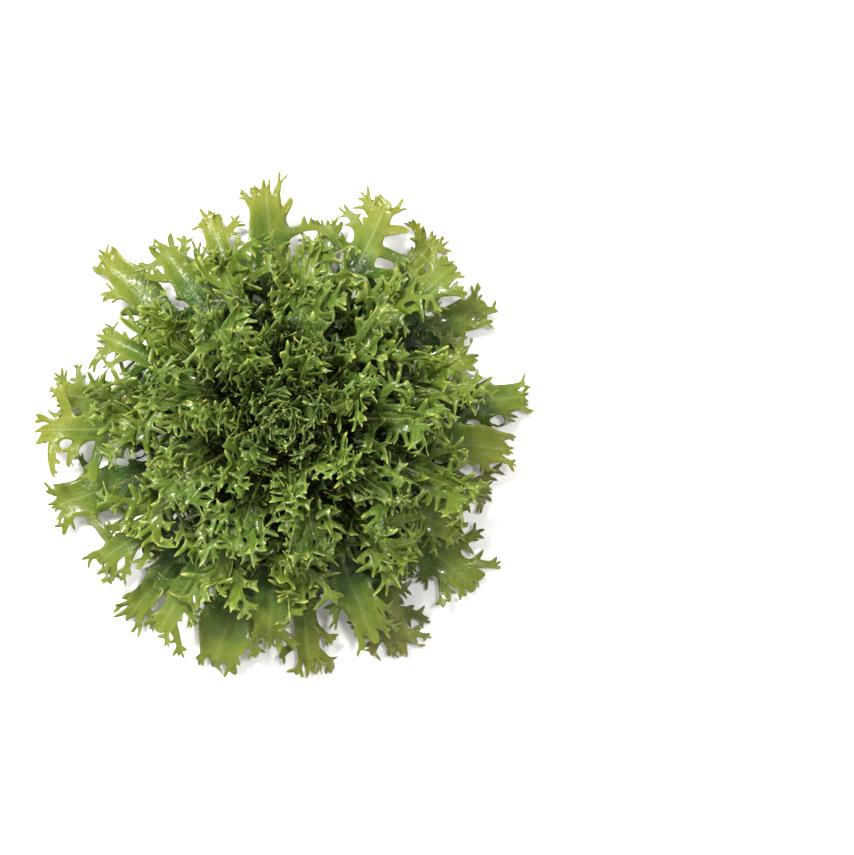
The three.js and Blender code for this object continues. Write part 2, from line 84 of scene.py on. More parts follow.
# The sway of the whole head: radii between which it grows, the height up to which it is less, and
# size, count and phase of its waves
SWAY_RADII = (32.0, 105.0)
SWAY_HEIGHT = 30.0
SWAYS = ((3.6, 3, 20.0), (3.0, 7, 75.0), (2.2, 11, 40.0))

Pair = tuple[float, float]
Row = tuple[int, ...]
Colour = tuple[float, float, float]


class Tone(Enum):
    """The colourings of a leaf."""

    GREEN = "green"
    YELLOW = "yellow"
    OLIVE = "olive"
    MIDDLE = "middle"
    INNER = "inner"
    HEART = "heart"


def smooth(low: float, high: float, value: "float | np.ndarray") -> "float | np.ndarray":
    """A share from 0 at low to 1 at high, with soft ends, or one for each value of an array."""
    share = np.clip((value - low) / (high - low), 0.0, 1.0)
    return share * share * (3.0 - 2.0 * share)


def mix(pair: Sequence[float], share: "float | np.ndarray") -> "float | np.ndarray":
    """The value at a share of the way between two, or the values at an array of shares."""
    return pair[0] + (pair[1] - pair[0]) * share


def within(limit: np.ndarray, value: np.ndarray) -> np.ndarray:
    """Presses distances softly under a limit.

    Args:
        limit: The limit of each.
        value: The distances, of either sign.

    Returns:
        The distances, unchanged below two thirds of their limit.
    """
    knee = limit * KNEE
    spare = limit - knee
    size = np.abs(value)
    pressed = knee + spare * np.tanh((size - knee) / spare)
    return np.where(size <= knee, value, np.sign(value) * pressed)


class Draw:
    """A seeded draw of numbers, the same at every run."""

    MASK = 0xFFFFFFFF
    STRIDE = 0x6D2B79F5
    RANGE = 2.0**32

    def __init__(self, seed: int) -> None:
        """Starts at a seed."""
        self.state = seed & self.MASK

    def __call__(self, low: float, high: float) -> float:
        """Draws the next number.

        Args:
            low: The least that it can be.
            high: The most that it can be.

        Returns:
            The number.
        """
        self.state = (self.state + self.STRIDE) & self.MASK
        turned = self.state ^ (self.state >> 15)
        turned = (turned * (1 | self.state)) & self.MASK
        step = ((turned ^ (turned >> 7)) * (61 | turned)) & self.MASK
        turned = ((turned + step) & self.MASK) ^ turned
        return low + (turned ^ (turned >> 14)) / self.RANGE * (high - low)

    def chance(self, share: float) -> bool:
        """True in a share of the draws."""
        return self(0.0, 1.0) < share


@dataclass(frozen=True)
class LobeShape:
    """How the lobes of one order grow from the edge that carries them.

    Lengths are in millimetres, angles in degrees over the whole lobe, and each pair is a range. The
    width goes from that of the root to taper times itself, and blunt is the part of it that is left
    at the very end. The teeth are the lobes that its own margins carry, each edge with their chance.
    """

    length: Pair
    half_width: Pair
    steps: int
    lean: Pair
    rise: Pair
    curl: Pair
    sweep: float
    twist: float
    taper: float = 0.6
    blunt: float = 0.35
    fork: float = 0.0
    teeth: "LobeShape | None" = None
    chance: float = 0.0
    ribbed: bool = False
    thick: float = 0.5


@dataclass(frozen=True)
class LeafForm:
    """The form of the leaves of a ring: widths, thicknesses and the lobes that they carry."""

    stations: int
    columns: tuple[float, ...]
    stalk: Pair
    opens: Pair
    rib: Pair
    fold: float
    cup: float
    ruffle: float
    ruffle_waves: float
    lobes_from: float
    lobe: LobeShape
    early_lobe: LobeShape
    early_until: float
    end_lobe: LobeShape
    corner_lobe: LobeShape
    tooth: LobeShape
    root_thick: float
    chord: bool
    beyond_rib: float
    lobe_chance: Pair = (1.0, 1.0)
    tooth_chance: float = 1.0
    size_at_root: float = 0.55
    size_at_tip: float = 1.0
    widening: Pair = (1.0, 1.0)
    end_taper: float = 0.28
    uneven: float = 0.08


@dataclass(frozen=True)
class Tip:
    """Where a leaf ends.

    Bearing in degrees anticlockwise from +X, reach and half-width in millimetres, its tone, the size
    of its lobes and how many of them stand on its right and left.
    """

    bearing: float
    reach: float
    half_width: float
    tone: Tone = Tone.GREEN
    lobe_size: float = 1.0
    lobes: Pair = (1.0, 1.0)


@dataclass
class Place:
    """The bearings of a leaf's root and tip, with its neighbours in the ring."""

    tip: Tip
    root: float
    following: "Pair | None" = None
    preceding: "Pair | None" = None


SCALLOP = LobeShape(
    length=(2.4, 6.5), half_width=(0.7, 1.5), steps=2, lean=(24, 58), rise=(-20, 26),
    curl=(-34, 34), sweep=30, twist=30, taper=0.55, blunt=0.2, thick=0.42,
)
POINT = LobeShape(
    length=(3.0, 7.5), half_width=(0.8, 1.4), steps=2, lean=(12, 44), rise=(-20, 22),
    curl=(-30, 34), sweep=24, twist=30, taper=0.7, blunt=0.12, thick=0.42,
)
STRAP = LobeShape(
    length=(9, 21), half_width=(1.9, 3.3), steps=5, lean=(22, 48), rise=(-16, 24),
    curl=(-44, 40), sweep=36, twist=46, taper=0.55, blunt=0.3, fork=0.45, teeth=POINT,
    chance=0.34, ribbed=True, thick=0.55,
)
CORNER = replace(
    STRAP, length=(5, 10.5), half_width=(1.8, 2.9), steps=3, lean=(14, 42), rise=(-14, 14),
    curl=(-36, 30), sweep=30, twist=40, taper=0.5, chance=0.22,
)
BLUNT_END = replace(
    CORNER, length=(4.5, 8.5), half_width=(2.8, 4.2), lean=(-10, 10), rise=(-14, 12),
    curl=(-34, 20), sweep=26, twist=26, taper=0.55, blunt=0.45, fork=0.55, chance=0.25, thick=0.6,
)
PRONG = LobeShape(
    length=(3.0, 7.0), half_width=(0.6, 1.0), steps=1, lean=(8, 40), rise=(-30, 34),
    curl=(-24, 28), sweep=20, twist=34, blunt=0.06, thick=0.42,
)
HOOK = LobeShape(
    length=(6.0, 14.5), half_width=(0.9, 1.7), steps=2, lean=(10, 52), rise=(-32, 42),
    curl=(-36, 48), sweep=34, twist=56, taper=0.9, blunt=0.12, teeth=PRONG, chance=0.31,
    thick=0.48,
)
FROND = LobeShape(
    length=(17, 32), half_width=(1.5, 2.9), steps=6, lean=(16, 58), rise=(2, 58),
    curl=(-56, 60), sweep=56, twist=96, taper=0.72, blunt=0.2, fork=0.8, teeth=HOOK,
    chance=0.56, ribbed=True, thick=0.6,
)
FROND_END = replace(
    FROND, length=(9, 18), half_width=(1.4, 2.3), steps=4, lean=(4, 32), rise=(-16, 50),
    curl=(-50, 60), sweep=50, twist=90, taper=0.7, blunt=0.3, chance=0.7,
)
FRILLED = replace(
    FROND, length=(13, 26), half_width=(1.5, 2.7), steps=5, lean=(20, 60), rise=(14, 62),
    curl=(-50, 50), sweep=50, twist=80, taper=0.75, fork=0.7, chance=0.5,
)
TUFT = replace(FROND, length=(12, 23), half_width=(1.2, 2.2), steps=5, rise=(20, 84), curl=(-36, 54))
WISP = replace(FROND, length=(12, 22), half_width=(1.1, 1.9), steps=4, rise=(10, 80), chance=0.5)

PADDLE = LeafForm(
    stations=18, columns=(-1.0, -0.5, 0.0, 0.5, 1.0), stalk=(3.7, 2.9), opens=(0.4, 0.84),
    rib=(1.5, 0.5), fold=5, cup=0.08, ruffle=2.6, ruffle_waves=2.6, lobes_from=0.2, lobe=STRAP,
    early_lobe=FRILLED, early_until=0.5, end_lobe=BLUNT_END, corner_lobe=CORNER, tooth=SCALLOP,
    root_thick=1.5, chord=False, beyond_rib=6.4, lobe_chance=(1.0, 0.7), tooth_chance=0.32,
    size_at_root=0.7, size_at_tip=0.8, widening=(0.72, 0.98), end_taper=0.42, uneven=0.16,
)
FRILL = LeafForm(
    stations=17, columns=(-1.0, 0.0, 1.0), stalk=(3.2, 1.7), opens=(0.4, 0.9), rib=(1.3, 0.5),
    fold=40, cup=0.0, ruffle=1.0, ruffle_waves=3.0, lobes_from=0.26, lobe=FROND, early_lobe=FROND,
    early_until=0.0, end_lobe=FROND_END, corner_lobe=FROND_END, tooth=HOOK, root_thick=1.3,
    chord=True, beyond_rib=8.0, widening=(0.6, 1.25),
)
PLUME = replace(FRILL, lobe=TUFT, early_lobe=TUFT, lobes_from=0.4, widening=(0.55, 1.0))
SCRAP = replace(
    FRILL, stations=8, stalk=(1.7, 1.3), opens=(0.2, 0.7), rib=(0.8, 0.4), fold=30, ruffle=0.6,
    ruffle_waves=2.0, lobes_from=0.2, lobe=WISP, early_lobe=WISP, root_thick=0.8, beyond_rib=4.8,
    widening=(1.0, 1.0),
)


@dataclass(frozen=True)
class Ring:
    """A ring of leaves: where they root, how they arch and how far their lobes stand off."""

    name: str
    form: LeafForm
    foot: float
    rise: float
    fall: float
    tip_height: float
    pull: float
    slab: Pair
    tips: tuple[Tip, ...] = ()
    count: int = 0
    turn: float = 0.0
    reach: float = 0.0
    blade: Pair = (2.8, 3.6)
    lobe_size: float = 1.0
    room: float = 0.0
    behind: float = 0.0
    roll: float = 6.0
    tone: Tone = Tone.GREEN
    slot: str = "outer_leaf"

    def places(self, draw: Draw) -> list[Place]:
        """Spaces the leaves' roots evenly and gives each its tip.

        Args:
            draw: The ring's draw, used only where the ring has no tips of its own.

        Returns:
            The places, in order anticlockwise.
        """
        tips = self.tips or tuple(
            Tip(
                self.turn + (i + draw(-UNEVENNESS, UNEVENNESS)) * 360 / self.count,
                self.reach * draw(*REACHES),
                draw(*self.blade),
                self.tone,
                self.lobe_size,
            )
            for i in range(self.count)
        )
        count = len(tips)
        start = sum(tip.bearing - i * 360 / count for i, tip in enumerate(tips)) / count
        places = [Place(tip, start + i * 360 / count) for i, tip in enumerate(tips)]
        for i, place in enumerate(places):
            after, before = places[(i + 1) % count], places[i - 1]
            on = 360 if i == count - 1 else 0
            back = 360 if i == 0 else 0
            place.following = (after.root + on, after.tip.bearing + on)
            place.preceding = (before.root - back, before.tip.bearing - back)
        return places


LOW_TIPS = (
    Tip(7, 127, 12, Tone.GREEN, 0.8, (0.5, 0.4)),
    Tip(32, 123, 9),
    Tip(52, 125, 7, Tone.YELLOW),
    Tip(78, 108, 6),
    Tip(111, 118, 8, Tone.YELLOW),
    Tip(138, 131, 11, Tone.YELLOW, 1.0, (0.2, 1.0)),
    Tip(172, 124, 9),
    Tip(199, 132, 13, Tone.GREEN, 0.9, (0.5, 0.7)),
    Tip(230, 130, 8, Tone.GREEN, 1.3),
    Tip(253, 134, 15, Tone.GREEN, 0.9, (0.6, 0.8)),
    Tip(275, 128, 7, Tone.YELLOW),
    Tip(297, 134, 10, Tone.OLIVE),
    Tip(319, 128, 11, Tone.GREEN, 1.2),
    Tip(341, 112, 7, Tone.OLIVE),
)
HIGH_TIPS = (
    Tip(-6, 118, 12, Tone.YELLOW, 0.7, (0.2, 0.3)),
    Tip(20, 104, 6),
    Tip(44, 120, 9),
    Tip(66, 128, 8, Tone.YELLOW, 1.3, (0.8, 1.0)),
    Tip(95.5, 125, 11, Tone.YELLOW, 1.2),
    Tip(125, 116, 8, Tone.GREEN, 1.1, (0.8, 1.0)),
    Tip(154, 108, 7),
    Tip(181, 129, 8, Tone.YELLOW, 1.2),
    Tip(216, 124, 8),
    Tip(238, 128, 8),
    Tip(265, 116, 12),
    Tip(292, 121, 10),
    Tip(327, 106, 10),
)
RINGS = (
    Ring("low_leaf", PADDLE, 4.6, 26, -14, 8, 0.36, (2.0, 10.0), tips=LOW_TIPS),
    Ring("high_leaf", PADDLE, 10.2, 54, -20, 27, 0.36, (2.0, 12.0), tips=HIGH_TIPS),
    Ring(
        "middle_leaf", FRILL, 15.0, 68, -10, 50, 0.4, (1.9, 17.0), count=11, turn=13, reach=92,
        tone=Tone.MIDDLE, slot="middle_leaf",
    ),
    Ring(
        "inner_leaf", FRILL, 19.6, 76, 8, 71, 0.42, (1.9, 15.0), count=9, turn=4, reach=70,
        lobe_size=0.95, tone=Tone.INNER, slot="inner_leaf",
    ),
    Ring(
        "crown_leaf", PLUME, 23.6, 82, 32, 92, 0.42, (1.7, 9.0), count=7, turn=21, reach=47,
        blade=(2.6, 3.8), lobe_size=0.85, tone=Tone.INNER, slot="heart_leaf",
    ),
    Ring(
        "heart_leaf", PLUME, 26.8, 86, 55, 92, 0.42, (1.5, 13.0), count=4, turn=40, reach=25,
        blade=(2.2, 3.2), lobe_size=0.8, tone=Tone.HEART, slot="heart_leaf",
    ),
)
BUD = Ring(
    "heart_bud", SCRAP, 54, 88, 66, 98, 0.42, (0.9, 9.0), count=5, turn=10, reach=12,
    blade=(1.9, 2.5), lobe_size=0.6, room=12.0, behind=12.0, tone=Tone.HEART, slot="heart_leaf",
)

# The radius at which the leaves of the bud root
BUD_ROOT = 1.2


class Arch:
    """The curve that a leaf's rib follows, in the plane of radius and height."""

    SAMPLES = 240

    def __init__(self, foot: Pair, tip: Pair, ring: Ring) -> None:
        """Draws the curve.

        Args:
            foot: Radius and height of its start.
            tip: Radius and height of its end.
            ring: The ring, which gives its slope at both and how far they pull it.
        """
        start, end = np.array(foot), np.array(tip)
        handle = float(np.linalg.norm(end - start)) * ring.pull
        rise, fall = math.radians(ring.rise), math.radians(ring.fall)
        out = start + handle * np.array([math.cos(rise), math.sin(rise)])
        back = end - handle * np.array([math.cos(fall), math.sin(fall)])
        t = np.linspace(0.0, 1.0, self.SAMPLES)[:, None]
        u = 1.0 - t
        self.points = u**3 * start + 3 * u**2 * t * out + 3 * u * t**2 * back + t**3 * end
        strides = np.linalg.norm(np.diff(self.points, axis=0), axis=1)
        self.along = np.concatenate([[0.0], np.cumsum(strides)])
        slopes = np.gradient(self.points, axis=0)
        self.slopes = slopes / np.linalg.norm(slopes, axis=1)[:, None]
        self.length = float(self.along[-1])

    def at(self, x: np.ndarray) -> tuple[np.ndarray, np.ndarray]:
        """Points and slopes at distances along the rib, straight on past either end.

        Args:
            x: Distances from the root.

        Returns:
            The points and the slopes, as rows of radius and height.
        """
        held = np.clip(x, 0.0, self.length)
        slope = np.stack([np.interp(held, self.along, self.slopes[:, k]) for k in (0, 1)], axis=1)
        point = np.stack([np.interp(held, self.along, self.points[:, k]) for k in (0, 1)], axis=1)
        return point + slope * (x - held)[:, None], slope


class Sheet:
    """An open sheet of faces, each point with its thickness and what it is made of."""

    def __init__(self) -> None:
        """Starts empty."""
        self.points: list[Vector] = []
        self.faces: list[Row] = []
        self.values: dict[str, list[float]] = {key: [] for key in ("thick", "rib", "edge", "shade")}

    def add(
        self, point: Vector, thick: float, rib: float = 0.0, edge: float = 0.0, shade: float = 0.5
    ) -> int:
        """Adds a point.

        Args:
            point: Its place on the flat leaf.
            thick: The thickness of the leaf there.
            rib: 1 on a rib, 0 on the blade.
            edge: 1 on a margin or a tip, 0 inside.
            shade: The tint of the lobe that it belongs to, from 0 to 1.

        Returns:
            Its number.
        """
        self.points.append(point.copy())
        for numbers, value in zip(self.values.values(), (thick, rib, edge, shade)):
            numbers.append(value)
        return len(self.points) - 1


class Heading:
    """A place on the flat leaf with the directions ahead, to the left and up."""

    def __init__(self, at: Vector, across: Vector) -> None:
        """Stands at a place.

        Args:
            at: The place.
            across: The direction of its left, of any length.
        """
        self.at = at
        self.left = across.normalized()
        up = Vector((0, 0, 1))
        self.up = (up - self.left * up.dot(self.left)).normalized()
        self.ahead = self.left.cross(self.up)

    def lean(self, angle: float, shear: float) -> None:
        """Turns ahead to the left by an angle, and the left itself by a share of it."""
        self.ahead.rotate(Quaternion(self.up, angle))
        self.left.rotate(Quaternion(self.up, angle * shear))

    def turn(self, rise: float, sweep: float, twist: float) -> None:
        """Turns about all three directions.

        Args:
            rise: The angle by which it tips up, in radians.
            sweep: The angle by which it turns left.
            twist: The angle by which it rolls about the way ahead.
        """
        for axis, angle in ((self.left, -rise), (self.up, sweep), (self.ahead, twist)):
            spin = Quaternion(axis, angle)
            for arm in (self.ahead, self.left, self.up):
                arm.rotate(spin)

    def step(self, stride: float) -> None:
        """Goes ahead."""
        self.at = self.at + self.ahead * stride


class LeafDrawing:
    """Draws one leaf flat and bends it into its place in the head."""

    # The thickness of the blade beside its rib, how evenly the stations stand along the rib, the
    # range of the blade's tint and how much of a margin its edge is
    BLADE_THICK = 0.55
    SPACING = 0.9
    TINTS = (0.3, 0.7)
    BLADE_EDGE = 0.7

    # The turn of a lobe's rows beside that of the lobe, and the narrowest edge that carries one
    SHEAR = 0.4
    NARROWEST_ROOT = 0.3

    # How far a lobe's first row goes with the width of the edge, how much a lobe thins, how much of a
    # margin it is at its root, and the thickness and depth of its rib
    LEAD = 0.4
    THINNING = 0.25
    ROOT_EDGE = 0.15
    RIB_THICK = 1.5
    RIB_DEPTH = 0.25

    # The length of a lobe's last step beside the others, the thickness of its end beside that of the
    # lobe, and the lean and size of a fork's prongs
    LAST_STEP = 0.6
    END_THIN = 0.75
    PRONG_LEAN = 0.6
    PRONG_SIZE = 0.8

    # The least share of the teeth that a side keeps, and the reach of a blade towards the ribs beside
    # it, where 1 is half the way
    LEAST_TEETH = 0.3
    ROOM = 1.35

    # The least room to either side, and the least radii for the room and for the bearing
    LEAST_ROOM = 1.0
    LEAST_RADII = (4.0, 2.0)

    def __init__(self, ring: Ring, place: Place, seed: int) -> None:
        """Prepares a leaf.

        Args:
            ring: Its ring.
            place: Its place in the ring.
            seed: The seed of its draw.
        """
        self.ring = ring
        self.form = ring.form
        self.place = place
        self.draw = Draw(seed)
        tip = (place.tip.reach - self.form.beyond_rib, ring.tip_height)
        self.arch = Arch(self.foot(), tip, ring)
        self.sheet = Sheet()
        self.widening = self.draw(*self.form.widening)
        self.roll = math.radians(self.draw(-ring.roll, ring.roll))

    def foot(self) -> Pair:
        """Finds where the rib leaves the stump.

        Returns:
            Radius and height.
        """
        ring, thick = self.ring, self.form.root_thick
        if ring is BUD:
            return (BUD_ROOT, ring.foot)
        rise = math.radians(ring.rise)
        radii, heights = zip(*STUMP_OUTLINE)
        skin = float(np.interp(ring.foot + thick * math.cos(rise), heights, radii))
        chord = self.form.stalk[0] ** 2 / (2 * skin) if self.form.chord else 0.0
        return (skin + thick * math.sin(rise) + SKIN_GAP + chord, ring.foot)

    def half_width(self, share: float) -> float:
        """Measures the blade.

        Args:
            share: The share of the rib, from the root, at which it is measured.

        Returns:
            Half its width there.
        """
        stalk, opens = self.form.stalk, self.form.opens
        narrow = mix(stalk, smooth(0, opens[0], share))
        opened = smooth(*opens, share) * (1 - self.form.end_taper * smooth(0.8, 1, share))
        return narrow + max(self.place.tip.half_width * self.widening - narrow, 0) * opened

    def draw_blade(self) -> list[list[int]]:
        """Draws the rib and the blade.

        Returns:
            The numbers of the points of each row across the leaf, from its right to its left.
        """
        form, draw = self.form, self.draw
        phases = (draw(0, math.tau), draw(0, math.tau))
        shade = draw(*self.TINTS)
        rows: list[list[int]] = []
        for i in range(form.stations):
            share = (i / (form.stations - 1)) ** self.SPACING
            half = self.half_width(share)
            thick = mix(form.rib, math.sqrt(share)) * 2
            blade = mix((thick, self.BLADE_THICK), smooth(0.1, 0.45, share))
            fold = math.radians(form.fold) * smooth(0.12, 0.35, share)
            row = []
            for column in form.columns:
                wave = math.sin(math.tau * form.ruffle_waves * share + phases[column > 0])
                width = half * draw(1 - form.uneven, 1 + form.uneven) if abs(column) == 1 else half
                lift = half * form.cup * column**2 + abs(column) * width * math.sin(fold)
                lift += wave * form.ruffle * abs(column) ** 1.5 * smooth(0.25, 0.6, share)
                centre = 1 - smooth(0.0, 0.5, abs(column))
                across = column * width * math.cos(fold)
                at = Vector((share * self.arch.length, across, lift))
                margin = smooth(0.3, 0.5, share) if abs(column) == 1 else 0.0
                fleshy = max(centre, 1 - smooth(0.08, 0.45, share))
                stout = thick * centre + blade * (1 - centre)
                row.append(self.sheet.add(at, stout, fleshy, margin * self.BLADE_EDGE, shade))
            if rows:
                under = rows[-1]
                for right in range(len(row) - 1):
                    face = (under[right + 1], under[right], row[right], row[right + 1])
                    self.sheet.faces.append(face)
            rows.append(row)
        return rows

    def grow(self, root: Sequence[int], shape: LobeShape, side: float, size: float) -> None:
        """Grows a lobe, with the teeth on it, from an edge of the sheet.

        Args:
            root: The edge's points from the lobe's left to its right: two, or three with the middle.
            shape: The shape of the lobe.
            side: 1 if it leans to its left, -1 to its right.
            size: Scales its length and width.
        """
        draw, sheet = self.draw, self.sheet
        end, origin = sheet.points[root[0]], sheet.points[root[-1]]
        breadth = (end - origin).length
        if breadth < self.NARROWEST_ROOT:
            return
        way = Heading((origin + end) / 2, end - origin)
        way.lean(math.radians(draw(*shape.lean)) * side, self.SHEAR)
        way.turn(math.radians(draw(*shape.rise)), 0.0, 0.0)
        steps = shape.steps
        stride = draw(*shape.length) * size / (steps + self.LAST_STEP)
        half = draw(*shape.half_width) * (0.5 + 0.5 * size)
        bends = [math.radians(draw(*shape.curl)) / steps]
        bends += [math.radians(draw(-most, most)) / steps for most in (shape.sweep, shape.twist)]
        shade = draw(0.0, 1.0)
        row = tuple(root)
        margins: list[tuple[int, int, float, float]] = []
        for step in range(1, steps + 1):
            way.step(stride)
            way.turn(*bends)
            share = step / (steps + 1)
            wide = half * (1 - (1 - shape.taper) * share)
            if step == 1 and steps > 1:
                wide = wide * (1 - self.LEAD) + min(breadth / 2, half * 2) * self.LEAD
            thin = shape.thick * (1 - self.THINNING * share)
            tipward = mix((self.ROOT_EDGE, 1.0), share)
            beyond = left, right = self.pair(way, wide, thin, tipward, shade)
            if shape.ribbed:
                hollow = way.at - way.up * wide * self.RIB_DEPTH
                middle = sheet.add(hollow, thin * self.RIB_THICK, 0.3, share * share * 0.5, shade)
                beyond = (left, middle, right)
            self.join(row, beyond)
            margins.append((row[0], left, 1.0, share))
            margins.append((right, row[-1], -1.0, share))
            row = beyond
        if shape.fork and len(row) == 3 and draw.chance(shape.fork):
            self.grow(row[:2], shape.teeth, self.PRONG_LEAN, size * self.PRONG_SIZE)
            self.grow(row[1:], shape.teeth, -self.PRONG_LEAN, size * self.PRONG_SIZE)
        else:
            way.step(stride * self.LAST_STEP)
            end_pair = self.pair(way, wide * shape.blunt, shape.thick * self.END_THIN, 1.0, shade)
            self.join(row, end_pair)
        if shape.teeth:
            for left, right, turned, share in margins[2:] or margins:
                if draw.chance(shape.chance):
                    shrink = (0.6 + 0.4 * size) * (1.1 - 0.4 * share)
                    self.grow((left, right), shape.teeth, -turned, shrink)

    def pair(self, way: Heading, wide: float, thin: float, edge: float, shade: float) -> Row:
        """Adds the left and the right point of a lobe's cross-row."""
        places = (way.at + way.left * wide, way.at - way.left * wide)
        return tuple(self.sheet.add(place, thin, 0.0, edge, shade) for place in places)

    def join(self, row: Row, beyond: Row) -> None:
        """Adds the faces between one cross-row of a lobe and the next.

        Args:
            row: The row's points from the left to the right: two, or three with the middle.
            beyond: Those of the next row.
        """
        if len(row) == len(beyond) == 3:
            self.sheet.faces.append((row[0], row[1], beyond[1], beyond[0]))
            self.sheet.faces.append((row[1], row[2], beyond[2], beyond[1]))
        else:
            self.sheet.faces.append((*row, *beyond[::-1]))

    def draw_flat(self) -> None:
        """Draws the whole leaf flat."""
        form, draw, tip = self.form, self.draw, self.place.tip
        rows = self.draw_blade()
        for i in range(1, len(rows)):
            share = (i - 0.5) / (len(rows) - 1)
            if share < form.lobes_from:
                continue
            along = (share - form.lobes_from) / (1 - form.lobes_from)
            size = mix((form.size_at_root, 1.0), smooth(0, 0.5, along)) * tip.lobe_size
            size *= mix((1.0, form.size_at_tip), smooth(0.6, 1.0, along))
            chance = mix(form.lobe_chance, smooth(0.2, 0.7, along))
            for side, edge in (
                (-1.0, (rows[i - 1][-1], rows[i][-1])),
                (1.0, (rows[i][0], rows[i - 1][0])),
            ):
                odd = (i % 2 == 0) == (side > 0)
                if odd and draw.chance(chance * tip.lobes[side < 0]):
                    early = along < form.early_until
                    self.grow(edge, form.early_lobe if early else form.lobe, side, size)
                elif draw.chance(form.tooth_chance * max(tip.lobes[side < 0], self.LEAST_TEETH)):
                    self.grow(edge, form.tooth, side, size)
        end = rows[-1][::-1]
        self.grow(end[:2], form.corner_lobe, 1.0, tip.lobe_size)
        if len(end) > 3:
            self.grow(end[1:-1], form.end_lobe, 1.0, tip.lobe_size)
        self.grow(end[-2:], form.corner_lobe, -1.0, tip.lobe_size)

    def bearing(self, place: Pair, radius: np.ndarray) -> np.ndarray:
        """Bearing of a leaf's rib in degrees where it passes each radius."""
        return mix(place, smooth(*SPREAD, radius))

    def bent(self) -> np.ndarray:
        """Bends the flat leaf over its arch.

        Returns:
            The points in the head, as rows of x, y and z.
        """
        ring = self.ring
        flat = np.array([tuple(point) for point in self.sheet.points])
        point, slope = self.arch.at(flat[:, 0])
        share = np.clip(flat[:, 0] / self.arch.length, 0, 1)
        slab = mix(ring.slab, smooth(0.1, 0.8, share))
        rolled = flat[:, 2] + flat[:, 1] * math.tan(self.roll) * smooth(0.2, 0.6, share)
        lift = within(slab, rolled)
        radius = point[:, 0] - slope[:, 1] * lift
        height = np.maximum(point[:, 1] + slope[:, 0] * lift, FLOOR_CLEARANCE)
        bearing = self.bearing((self.place.root, self.place.tip.bearing), radius)
        after = np.abs(self.bearing(self.place.following, radius) - bearing)
        before = np.abs(self.bearing(self.place.preceding, radius) - bearing)
        between = np.radians(np.where(flat[:, 1] > 0, after, before) / 2)
        room = np.maximum(radius, self.LEAST_RADII[0]) * between * self.ROOM
        if ring.room:
            room = np.full_like(radius, ring.room)
        aside = within(np.maximum(room, self.LEAST_ROOM), flat[:, 1])
        direction = np.radians(bearing)
        angle = direction + aside / (np.maximum(radius, self.LEAST_RADII[1]) + ring.behind)
        x = (radius + ring.behind) * np.cos(angle) - ring.behind * np.cos(direction)
        y = (radius + ring.behind) * np.sin(angle) - ring.behind * np.sin(direction)
        waves = sum(
            size * np.sin(count * angle + math.radians(phase)) for size, count, phase in SWAYS
        )
        z = height + waves * smooth(*SWAY_RADII, radius) * smooth(0, SWAY_HEIGHT, height)
        return np.stack([x, y, z], axis=1)


def stand(name: str, data: bpy.types.ID) -> bpy.types.Object:
    """Puts a new object into the scene.

    Args:
        name: Its name.
        data: Its mesh, lamp or camera.

    Returns:
        The object.
    """
    thing = bpy.data.objects.new(name, data)
    bpy.context.scene.collection.objects.link(thing)
    return thing


class MeshMaker:
    """Turns drawn sheets into closed, smooth meshes."""

    # The thickness of a vertex in full weight, and what the materials read from the mesh
    THICKEST = 3.4
    STORED = ("rib", "edge", "shade", "along")

    @staticmethod
    def leaf(name: str, drawings: Sequence[LeafDrawing]) -> bpy.types.Object:
        """Makes one piece of one or more leaves.

        Args:
            name: The name of the piece.
            drawings: The leaves, drawn flat.

        Returns:
            The piece, subdivided and thickened.
        """
        points: list[np.ndarray] = []
        faces: list[Row] = []
        values: dict[str, list[float]] = {key: [] for key in (*MeshMaker.STORED, "thick", "flat")}
        for drawing in drawings:
            base = sum(len(part) for part in points)
            sheet = drawing.sheet
            points.append(drawing.bent() * METRES)
            faces += [tuple(base + i for i in face) for face in sheet.faces]
            for key, numbers in sheet.values.items():
                values[key] += numbers
            values["along"] += [point.x / drawing.arch.length for point in sheet.points]
            values["flat"] += [value * METRES for point in sheet.points for value in point]
        mesh = bpy.data.meshes.new(name)
        mesh.from_pydata(np.concatenate(points).tolist(), [], faces)
        for key in MeshMaker.STORED:
            mesh.attributes.new(key, "FLOAT", "POINT").data.foreach_set("value", values[key])
        mesh.attributes.new("flat", "FLOAT_VECTOR", "POINT").data.foreach_set("vector", values["flat"])
        piece = stand(name, mesh)
        group = piece.vertex_groups.new(name="thick")
        for i, thick in enumerate(values["thick"]):
            group.add([i], min(thick / MeshMaker.THICKEST, 1.0), "REPLACE")
        smoother = piece.modifiers.new("smooth", "SUBSURF")
        smoother.levels = smoother.render_levels = 1
        skin = piece.modifiers.new("skin", "SOLIDIFY")
        skin.thickness = MeshMaker.THICKEST * METRES
        skin.offset = 0.0
        skin.vertex_group = "thick"
        MeshMaker.settle(piece)
        return piece

    @staticmethod
    def settle(piece: bpy.types.Object) -> None:
        """Applies a piece's modifiers and shades it smooth.

        Args:
            piece: The piece.
        """
        bpy.context.view_layer.update()
        graph = bpy.context.evaluated_depsgraph_get()
        final = bpy.data.meshes.new_from_object(piece.evaluated_get(graph))
        piece.modifiers.clear()
        piece.data = final
        final.shade_smooth()


Number = "Wire | float"


